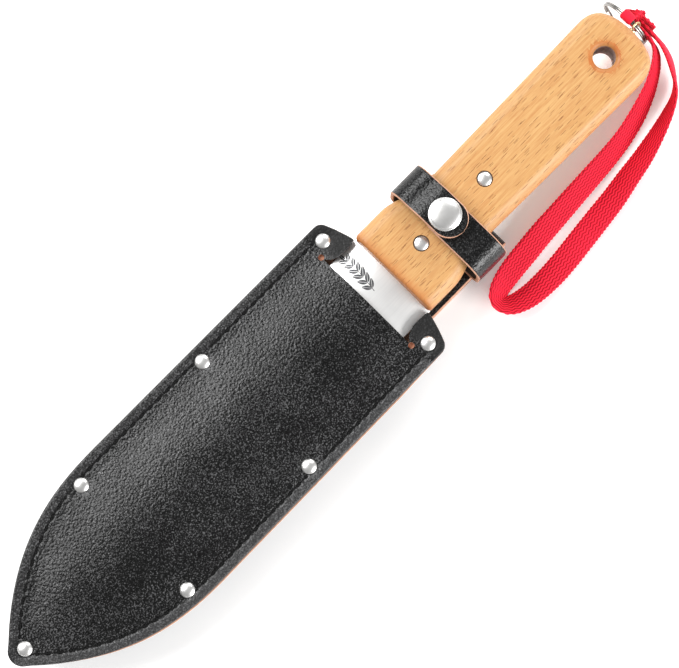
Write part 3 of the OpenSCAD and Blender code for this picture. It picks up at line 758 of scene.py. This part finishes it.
def front_panel(outline):
    """Domed front, cut away between its two ears, with a relief hole at each end of the mouth."""
    v, f, m = plate(outline, lambda x, y: BORDER_Z + dome(x, y, 0) * (np.abs(y) < 26), front_top,
                    0.6, 62, 0, 1, 2)
    near_edge = np.min([np.hypot(v[:, 0][:, None] - q[:, 0], v[:, 1][:, None] - q[:, 1]).min(1)
                        for q in np.array_split(outline, 8)], 0)
    pits, groove = pit_depth(v[:, 0], v[:, 1], np.maximum(near_edge, 1.6))
    # the ears are darkened as well
    ears = 0.8 * np.clip((v[:, 0] - MOUTH - 1) / 3, 0, 1)
    # painted shade in the needle holes and along the stitch groove
    pits = np.clip(1.3 * pits + 0.10 * groove + ears, 0, 1) * (v[:, 2] > BORDER_TOP - 1)
    # painted sheen on the flat border, stronger on the -Y side
    border_sheen = np.clip((3.7 - near_edge) / 0.8, 0, 1) * np.where(v[:, 1] < 0, 0.50, 0.22) * (v[:, 0] < 182)
    panel = piece("front_leather", v, f, [GRAIN, DARK_EDGE, FLESH], "sheath", ["front_panel"], m,
                  attributes={"painted_shade": pits, "border_sheen": border_sheen})
    mouth = mirrored(np.vstack([ear_line([(183.6, 19.7), (181.6, 21.7)]), [(MOUTH, 21.8)]]))
    tools = [prism("mouth_cutter", mouth, 15.2, 30, DARK_EDGE)]
    for y in (22.8, -22.8):
        v, f = lathe([(0.001, 18.5), (1.15, 18.5), (1.15, 30), (0.001, 30)], [(MOUTH, y, 0)], 24)
        tools.append(cutter("relief_cutter", v, f, TAN))
    cut(panel, tools)


def welt(outline):
    """Spacer along the edge: a plate of the whole outline with the pocket cut out of it."""
    v, f, _ = plate(outline, lambda x, y: np.full_like(x, BACK_TOP - 0.02),
                    lambda x, y, d: np.full_like(x, BORDER_Z + 0.02), 0.15, 3, 0, 0, 0)
    ring = piece("welt_leather", v, f, [DARK_EDGE, TAN], "sheath", ["welt"], welt_marks(v, f))
    pocket = [(x, float(max(1.5, ogive(x, 9.2, 66, 23.9))), 0) for x in
              (9.4, 11, 14, 18, 24, 32, 42, 54, 66, 76, 130, 200)]
    cut(ring, [prism("pocket_cutter", mirrored(smooth_line(pocket, 1.5)[0][:, :2]), 14, 19, DARK_EDGE)])


def back_panel():
    """Back of the pocket, which stands a little proud of the front along the -Y side."""
    def proud(line):
        out = np.zeros_like(line)
        out[:, 1] = np.where(line[:, 1] < -4, -0.42 * np.clip((line[:, 0] - 8) / 30, 0, 1)
                             * np.clip((186 - line[:, 0]) / 20, 0, 1), 0)
        return out

    v, f, m = plate(closed_outline(proud), lambda x, y: np.full_like(x, BACK_Z),
                    lambda x, y, d: np.full_like(x, BACK_TOP), 0.25, 12, 1, 1, 0)
    base = piece("back_leather", v, f, [GRAIN, TAN], "sheath", (), m)
    cut(base, [prism("neck_cutter", mirrored(ear_line([])), 12, 16, TAN)])


def sheath():
    outline = closed_outline()
    front_panel(outline)
    welt(outline)
    back_panel()
    belt_leather()


def welt_marks(verts, faces):
    """Tan on the welt's flat sides, dark on its outer edge."""
    v = np.asarray(verts)
    marks = []
    for f in faces:
        p = v[list(f)]
        normal = np.cross(p[2] - p[0], p[-1] - p[1])
        marks.append(1 if abs(normal[2]) > 0.7 * np.linalg.norm(normal) else 0)
    return marks


def belt_leather():
    """The back panel's tongue, folded over into the belt loop.

    Its smooth side faces the handle, then the table."""
    end, tongue_z, half_t = 234.0, 6.4, LEATHER_T / 2
    fold_r = tongue_z / 2
    t = np.linspace(0, 1, 26)[:, None]
    down = np.c_[184.5 + 13.3 * t, 14.0 - (BACK_Z - tongue_z) * ease(t)]
    fold = arc((end - fold_r - half_t, half_t + fold_r), fold_r, 90, -90, 30)
    up = np.c_[140 - 20 * t, half_t + (BACK_Z - LEATHER_T) * ease(t)]
    path = resample(np.vstack([down, fold, up, [[98, 12.2]]]), 0.8)[0]
    normal = left_of(path)
    y0, y1, r = -20.9, 16.3, 0.45
    under = [(y0, r - half_t), (y0 + r * 0.3, r * 0.3 - half_t), (y0 + r, -half_t)]
    under += [(y, -half_t) for y in np.linspace(y0 + 2, y1 - 2, 24)]
    under += [(y1 - r, -half_t), (y1 - r * 0.3, r * 0.3 - half_t), (y1, r - half_t)]
    over = [(y, -h) for y, h in reversed(under)]
    cols = np.array(under + [(y1 + 0.08, 0)] + over + [(y0 - 0.08, 0)])
    sections = np.stack([np.stack([path[i, 0] + normal[i, 0] * cols[:, 1], cols[:, 0],
                                   path[i, 1] + normal[i, 1] * cols[:, 1]], 1) for i in range(len(path))])
    verts, faces = tube(sections)
    n = len(cols)
    side = np.zeros(n, int)
    for k in range(n):
        a, b = cols[k], cols[(k + 1) % n]
        edge = (min(a[0], b[0]) < y0 + r * 0.5) or (max(a[0], b[0]) > y1 - r * 0.5)
        side[k] = 1 if edge else (2 if a[1] < 0 else 0)
    marks = np.r_[np.tile(side, len(path) - 1), [1, 1]]
    piece("belt_loop_leather", verts, faces, [STRAP_LEATHER, TAN, FLESH], "sheath",
          ["back_panel"], marks)


def edge_threads():
    """The stitches on both faces, and a small dark cap of thread over every hole, which also paints the
    hole's shade.
    """
    verts, faces = [], []
    for x, y, a in STITCHES:
        along = (math.cos(a), math.sin(a), 0)
        for z, up in ((BORDER_TOP - 0.24, (0, 0, 1)), (BACK_Z + 0.05, (0, 0, -1))):
            v, f = stitch_mesh((x, y, z), along, up, 1.7, 0.22, 0.5)
            verts, faces = bulge(verts, faces, v, f)
    # a dark thread cap over each hole: partly the thread there, partly painted shade of the hole
    dark_hole_cap = [(0.001, 0.10), (0.25, 0.07), (0.46, -0.02), (0.52, -0.2), (0.001, -0.2)]
    front = lathe(dark_hole_cap, [(x, y, BORDER_TOP - 0.06) for x, y in HOLES], 12)
    back = lathe(dark_hole_cap, [(x, y, BACK_Z + 0.06) for x, y in HOLES], 12, flip=True)
    for v, f in (front, back):
        verts, faces = bulge(verts, faces, v, f)
    piece("edge_threads", verts, faces, [BLACK_THREAD], "sheath", ["edge_stitching"],
          merge=False)


# ---- Keeper strap ----

def strap_piece(name, path, hinge):
    """A strap end from the middle of the tongue, up beside the handle and over it, with a rounded tip.

    hinge tells which face is the smooth one."""
    line, s = resample(path, 0.45)
    for _ in range(6):
        line[1:-1] = (line[:-2] + 2 * line[1:-1] + line[2:]) / 4
    normal = left_of(line)
    to_end = s[-1] - s
    full = STRAP_W / 2
    half = np.where(to_end < full, np.sqrt(np.clip(full ** 2 - (full - to_end) ** 2, 0.3, None)), full)
    r, t = 0.38, STRAP_T / 2
    under = [(-1, r - t, 0), (-1, 0.1 - t, 0.12)] + [(q, -t, r) for q in np.linspace(-1, 1, 17)]
    under += [(1, 0.1 - t, 0.12), (1, r - t, 0)]
    over = [(q, -h, inset) for q, h, inset in reversed(under)]
    cols = under + [(1, 0, -0.06)] + over + [(-1, 0, -0.06)]
    sections = []
    for i in range(len(line)):
        ring = []
        for q, h, inset in cols:
            w = max(0.15, half[i] - inset)
            out = h + (0.10 * math.sin(s[i] * 0.33) * (1 - abs(q)) if h > 0 else 0)
            ring.append((STRAP_X + q * w, line[i, 0] + normal[i, 0] * out, line[i, 1] + normal[i, 1] * out))
        sections.append(ring)
    verts, faces = tube(sections)
    n = len(cols)
    kinds = []
    for k in range(n):
        a, b = cols[k], cols[(k + 1) % n]
        edge = abs(a[0]) == 1 and abs(b[0]) == 1 and min(abs(a[1]), abs(b[1])) < t - 0.05
        kinds.append(1 if edge else (2 if (a[1] * hinge) < 0 else 0))
    marks = np.r_[np.tile(kinds, len(line) - 1), [1, 1]]
    tip = np.repeat(to_end[:-1] < 0.35, n)
    marks[:-2][tip] = 1
    return piece(name, verts, faces, [STRAP_LEATHER, TAN, FLESH], None, (), marks)


def keeper_strap():
    """The two strap ends, which bend where they leave the strap base, and the thread that sews it down."""
    rise = np.linspace(0, 1, 14)
    tab = np.vstack([[(-2.3, 9.0)], arc((16.65, 12.5), 3.5, -90, 0, 12), arc((13.15, 25.5), 7, 0, 78, 20),
                     np.stack([13.55 - 7.4 * rise, 32.4 + 2.2 * ease(rise)], 1), [(-8.25, 34.6)]])
    ob = strap_piece("keeper_strap_cap_end", tab, -1)
    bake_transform(ob)
    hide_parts("strap_base", "strap_tab")
    stud = np.vstack([[(-2.3, 9.0)], arc((-19.6, 12.5), 3.5, -90, -180, 12),
                      arc((-16.1, 23.7), 7, 180, 90, 24), [(7.9, 30.7)]])
    ob = strap_piece("keeper_strap_stud_end", stud, 1)
    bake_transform(ob)
    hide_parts("strap_stud_end")
    verts, faces = [], []
    for dx in (-4, 4):
        for i in range(-3, 4):
            for z, up in ((9.75, (0, 0, 1)), (6.45, (0, 0, -1))):
                v, f = stitch_mesh((STRAP_X + dx, -2.3 + i * 4, z), (0, 1, 0), up, 1.5, 0.2, 0.2)
                verts, faces = bulge(verts, faces, v, f)
    piece("strap_threads", verts, faces, [BLACK_THREAD], "sheath", ["strap_stitching"],
          merge=False)


def snap():
    """Cap of the snap, domed with a rolled rim, and its post."""
    place = [(STRAP_X, SNAP_Y, SNAP_Z)]
    cap = [(0.001, 1.95), (1.2, 1.93), (2.4, 1.84), (3.5, 1.66), (4.4, 1.42), (5.0, 1.2), (5.3, 1.02),
           (5.38, 0.9), (5.5, 0.84), (5.75, 0.85), (5.98, 0.74), (6.12, 0.52), (6.15, 0.3), (6.08, 0.08),
           (5.8, 0), (0.001, 0)]
    post = [(0.001, -2.0), (1.6, -2.0), (1.6, 0.1), (0.001, 0.1)]
    v, f = bulge(*lathe(cap, place, 96), *lathe(post, place, 32))
    piece("snap_cap_shell", v, f, [NICKEL], "cap_end", ["snap_cap"], sharp=50)


# ---- Knife ----

def handle_half(s):
    """Half width of the handle, s millimetres behind the blade."""
    s = np.asarray(s, float)
    flare = FLARE_HALF + (WAIST_HALF - FLARE_HALF) * ease((s - FLARE_END) / (WAIST_AT - FLARE_END))
    widening = np.minimum(1, (s - WAIST_AT) / (HANDLE_LEN - BUTT_ROUND - WAIST_AT))
    return np.where(s < WAIST_AT, flare, WAIST_HALF + (BUTT_HALF - WAIST_HALF) * widening)


def rounded_section(w, h, r):
    """A rectangle of half sizes w and h with rounded corners."""
    r = max(0.05, min(r, w - 0.05, h - 0.05))
    out = []
    for cx, cy, a in ((w - r, h - r, 0), (r - w, h - r, 90), (r - w, r - h, 180), (w - r, r - h, 270)):
        out.append(arc((cx, cy), r, a, a + 90, 10))
    return np.vstack(out)


def spread_section(ring, extra):
    """Adds points along the section's long flats so that its faces stay even."""
    out = []
    for i in range(len(ring)):
        a, b = ring[i], ring[(i + 1) % len(ring)]
        out.append(a)
        if i % 10 == 9:
            for t in np.linspace(0, 1, extra + 2)[1:-1]:
                out.append(a * (1 - t) + b * t)
    return np.array(out)


def handle():
    """Beech handle: rounded cross sections along it, then the hanging hole and the rivets' seats cut in."""
    edge, straight = 5.2, HANDLE_LEN - BUTT_ROUND
    stations = []
    for a in np.radians([0, 12, 25, 40, 55, 70, 82, 90]):
        inset = 1.6 * (1 - math.sin(a))
        s = 1.6 * (1 - math.cos(a))
        stations.append((s, float(handle_half(s)) - inset, inset))
    for s in np.r_[np.linspace(2.2, 12, 9), np.linspace(FLARE_END, WAIST_AT, 26),
                   np.linspace(34, straight, 36)]:
        stations.append((s, float(handle_half(s)), 0))
    for a in np.radians(np.linspace(4, 89.2, 30)):
        e = math.sin(a)
        d = BUTT_ROUND * (1 - e)
        drop = edge - math.sqrt(max(0, edge ** 2 - (edge - d) ** 2)) if d < edge else 0
        stations.append((straight + BUTT_ROUND * e, BUTT_HALF * (1 - e ** 2.6) ** (1 / 2.6), drop))
    rows = []
    for s, half, drop in stations:
        ring = spread_section(rounded_section(half, 9.0 - drop, edge), 6)
        rows.append(np.c_[np.full(len(ring), HANDLE_X + s), ring[:, 0], ring[:, 1] + HANDLE_Z])
    verts, faces = tube(rows)
    verts = np.array(verts)
    s = verts[:, 0] - HANDLE_X
    # painted shade: the rounded ends, the flat sides and the rim of the hanging hole are browned
    rim = 0.75 * np.exp(-(s / 2.6) ** 2) + 0.55 * np.clip((s - (HANDLE_LEN - 7)) / 7, 0, 1) ** 2
    rim += 0.30 * np.clip((np.abs(verts[:, 2] - HANDLE_Z) - 3) / -3 + 1, 0, 1)
    hole = np.hypot(verts[:, 0] - HANG_X, verts[:, 1])
    rim += 0.5 * np.exp(-((hole - 4.5) / 2.4) ** 2)
    ob = piece("beech_handle", verts, faces, [BEECH], "knife", ["handle"],
               attributes={"rim": np.clip(rim, 0, 1)}, sharp=50)
    tools = []
    fillet = [(HANG_R + 1.7 * (1 - math.sin(a)), 1.7 * (1 - math.cos(a)))
              for a in np.radians(np.linspace(0, 90, 9))]
    for face, way in ((HANDLE_TOP, 1), (HANDLE_LOW, -1)):
        line = [(r, face - way * d) for r, d in fillet]
        line = [(0.001, face + way * 5), (line[0][0] + 0.1, face + way * 5)] + line + [(0.001, line[-1][1])]
        tools.append(cutter("rim_cutter", *lathe(line, [(HANG_X, 0, 0)], 64), BEECH))
    line = [(0.001, 8), (HANG_R, 8), (HANG_R, 32), (0.001, 32)]
    tools.append(cutter("hole_cutter", *lathe(line, [(HANG_X, 0, 0)], 64), HOLE))
    for x in HANDLE_RIVETS:
        for z0, z1 in ((HANDLE_TOP - 0.6, 34), (5, HANDLE_LOW + 0.6)):
            line = [(0.001, z0), (3.0, z0), (3.0, z1), (0.001, z1)]
            tools.append(cutter("seat_cutter", *lathe(line, [(x, 0, 0)], 40), DARK_GAP))
    cut(ob, tools, 40)


def handle_rivets():
    """Tubular halves with their heads on the front, and pin halves with theirs on the back."""
    places = [(x, 0, 0) for x in HANDLE_RIVETS]
    head = [(0.001, 1.0), (0.8, 0.96), (1.5, 0.84), (2.1, 0.62), (2.5, 0.36), (2.68, 0.14), (2.75, 0),
            (2.75, -0.4), (0.001, -0.4)]
    front = lathe([(r, z + HANDLE_TOP - 0.35) for r, z in head], places)
    shank = lathe([(0.001, 14), (2.45, 14), (2.45, 28.2), (0.001, 28.2)], places, 32)
    v, f = bulge(*front, *shank)
    piece("handle_rivet_fronts", v, f, [NICKEL], "knife", ["handle_rivet_tubes"], sharp=50)
    back = lathe([(r, z - HANDLE_LOW - 0.35) for r, z in head], places, flip=True)
    shank = lathe([(0.001, 11), (2.45, 11), (2.45, 13.3), (1.6, 13.3), (1.6, 24), (0.001, 24)], places, 32)
    v, f = bulge(*back, *shank)
    piece("handle_rivet_backs", v, f, [NICKEL], "knife", ["handle_rivet_pins"], sharp=50)


def sheath_rivets():
    """Domed caps on the front of the sheath and flatter heads on its back."""
    places = [(x, y, 0) for x, y in RIVETS]
    cap = [(0.001, 1.3), (0.7, 1.26), (1.4, 1.12), (2.0, 0.88), (2.45, 0.58), (2.72, 0.3), (2.85, 0.06),
           (2.8, -0.12), (2.4, -0.15), (1.45, -0.15), (1.45, -5.8), (0.001, -5.8)]
    v, f = lathe([(r, z + BORDER_TOP) for r, z in cap], places)
    piece("sheath_rivet_domes", v, f, [NICKEL], "sheath", ["sheath_rivet_caps"], sharp=50)
    back = [(0.001, 0.7), (0.9, 0.64), (1.8, 0.46), (2.5, 0.22), (2.85, 0.0), (2.8, -0.08), (0.9, -0.1),
            (0.9, -5.2), (0.001, -5.2)]
    v, f = lathe([(r, z - BACK_Z) for r, z in back], places, flip=True)
    piece("sheath_rivet_backs", v, f, [NICKEL], "sheath", ["sheath_rivet_posts"], sharp=50)


def blade():
    """Dished blade with a serrated edge on the -Y side."""
    xs = np.r_[TIP_X + np.geomspace(0.02, 6, 14), np.arange(19.5, HANDLE_X + 1.0, 0.55)]
    ts = np.r_[-1, -0.985, np.linspace(-0.96, 0.96, 37), 0.985, 1]
    tooth = ((xs - 75) / 5 + 0.5) % 1 - 0.5
    notch = np.where((xs > 72.5) & (xs < 152.5), np.clip(2.0 - np.abs(tooth) * 5 * 1.1, 0, 2.0), 0)
    half = np.maximum(0.4, blade_half(xs))
    rows = []
    for x, w, bite in zip(xs, half, notch):
        lo = -w + bite
        y = np.where(ts < 0, ts * -lo, ts * w)
        mid = BLADE_Z + DISH * swell(x) * (1 - (y / w) ** 2)
        blunt = ease((x - 175.5) / 8)
        thick = BLADE_T * np.minimum(1, 0.14 + 0.86 * np.minimum(w - y, y - lo) / 4.5 + blunt)
        thick[[0, -1]] *= 0.6
        over = np.stack([np.full_like(y, x), y, mid + thick / 2], 1)
        under = np.stack([np.full_like(y, x), y, mid - thick / 2], 1)[::-1]
        rows.append(np.vstack([over, under]))
    verts, faces = tube(rows)
    piece("steel_blade", verts, faces, [STEEL], "knife", ["blade"], sharp=32)
    sprig()


def sprig():
    """A plain sprig of leaves etched at the blade's neck."""
    verts, faces = [], []

    def patch(points):
        nonlocal verts, faces
        p = np.asarray(points, float)
        z = BLADE_Z + DISH * (1 - (p[:, 1] / BLADE_HALF) ** 2) + BLADE_T / 2 + 0.015
        v = np.vstack([np.c_[p, z], np.c_[p, z - 0.05]])
        n = len(p)
        f = [list(range(n)), list(range(n, 2 * n))[::-1]]
        f += [[i, (i + 1) % n, n + (i + 1) % n, n + i] for i in range(n)]
        verts, faces = bulge(verts, faces, v, f)

    def leaf(x, y, angle, size):
        t = np.linspace(0, 1, 14)
        bow = np.sin(math.pi * t) ** 0.8 * (1 - 0.35 * t)
        for side in (1, -1):
            a = np.stack([t * size, side * (0.06 + bow * size * 0.24)], 1)
            b = np.stack([t[::-1] * size, np.full(14, side * 0.06)], 1)
            shape = np.vstack([a, b[1:-1]])
            c, s = math.cos(angle), math.sin(angle)
            turned = np.stack([x + shape[:, 0] * c - shape[:, 1] * s,
                               y + shape[:, 0] * s + shape[:, 1] * c], 1)
            patch(turned if side > 0 else turned[::-1])

    stem = np.linspace(0, 1, 12)
    bend = 186.2 + 1.1 * np.sin(stem * 2.2)
    ys = 0.5 + 15.5 * stem
    patch(np.vstack([np.stack([bend - 0.13, ys], 1), np.stack([bend + 0.13, ys], 1)[::-1]]))
    for i, q in enumerate(np.linspace(0.08, 0.92, 6)):
        x, y = 186.2 + 1.1 * math.sin(q * 2.2), 0.5 + 15.5 * q
        size = 4.2 - 1.2 * abs(q - 0.4)
        leaf(x, y, math.radians(52 - 8 * q), size)
        leaf(x, y, math.radians(128 + 8 * q), size)
    leaf(bend[-1], ys[-1], math.radians(95), 3.2)
    piece("etched_sprig", verts, faces, [ETCH], "knife", merge=False)


def split_ring():
    """Two turns of flattened wire with the crossover and the two cut ends."""
    a = np.radians(np.linspace(24, 696, 260))
    cross = np.clip((np.degrees(a) - 342) / 36, 0, 1)
    x = RING_X - RING_WIRE + 2 * RING_WIRE * (cross * cross * (3 - 2 * cross))
    start = math.radians(-60)
    t = np.linspace(0, 2 * math.pi, 14, endpoint=False)
    rad = RING_R + RING_WIRE * np.sign(np.cos(t)) * np.abs(np.cos(t)) ** 0.8
    off = 0.42 * np.sign(np.sin(t)) * np.abs(np.sin(t)) ** 0.8
    rows = []
    for ang, cx in zip(a, x):
        c, s = math.cos(ang + start), math.sin(ang + start)
        rows.append(np.stack([cx + off, RING_Y + rad * c, RING_Z + rad * s], 1))
    verts, faces = tube(rows)
    piece("split_ring_wire", verts, faces, [RING_METAL], "tether", ["split_ring"], sharp=50)


def carried_over():
    """CAD nodes that are shown as they are get a finish of their own."""
    others = {"screw_eye": BRASS, "snap_spring": SPRING}
    for node in ("screw_eye", "snap_socket", "snap_spring", "snap_stud", "snap_eyelet",
                 "belt_loop_rivet_caps", "belt_loop_rivet_posts"):
        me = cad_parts[node].data
        me.materials.clear()
        me.materials.append(others.get(node, NICKEL))


def studio():
    """White surroundings, a white floor that rises far away, and three area lights."""
    bpy.context.scene.view_settings.view_transform = "Standard"
    world = bpy.data.worlds.new("studio")
    world.use_nodes = True
    background = world.node_tree.nodes["Background"]
    background.inputs["Color"].default_value = (0.97, 0.97, 0.97, 1)
    background.inputs["Strength"].default_value = 0.36
    bpy.context.scene.world = world
    me = bpy.data.meshes.new("floor")
    n, size = 24, 1.6
    g = np.linspace(-size, size, n + 1)
    x, y = np.meshgrid(g, g)
    z = np.maximum(0, np.hypot(x, y) - 1.1) ** 2 * 0.25 - 0.0003
    me.from_pydata(np.stack([x, y, z], -1).reshape(-1, 3).tolist(), [], grid_faces(n + 1, n + 1).tolist())
    me.polygons.foreach_set("use_smooth", [True] * len(me.polygons))
    me.materials.append(floor_material())
    floor = bpy.data.objects.new("floor", me)
    bpy.context.collection.objects.link(floor)
    area_light("key", (-0.20, 1.02, 1.06), (1.4, 0.95), 28)
    area_light("fill", (0.30, -1.30, 0.60), (1.1, 0.7), 26)
    area_light("end", (1.2, 0.45, 0.70), (0.7, 0.6), 9)


make_camera()
lanyard()
sheath()
edge_threads()
keeper_strap()
snap()
handle()
handle_rivets()
sheath_rivets()
blade()
split_ring()
carried_over()
studio()
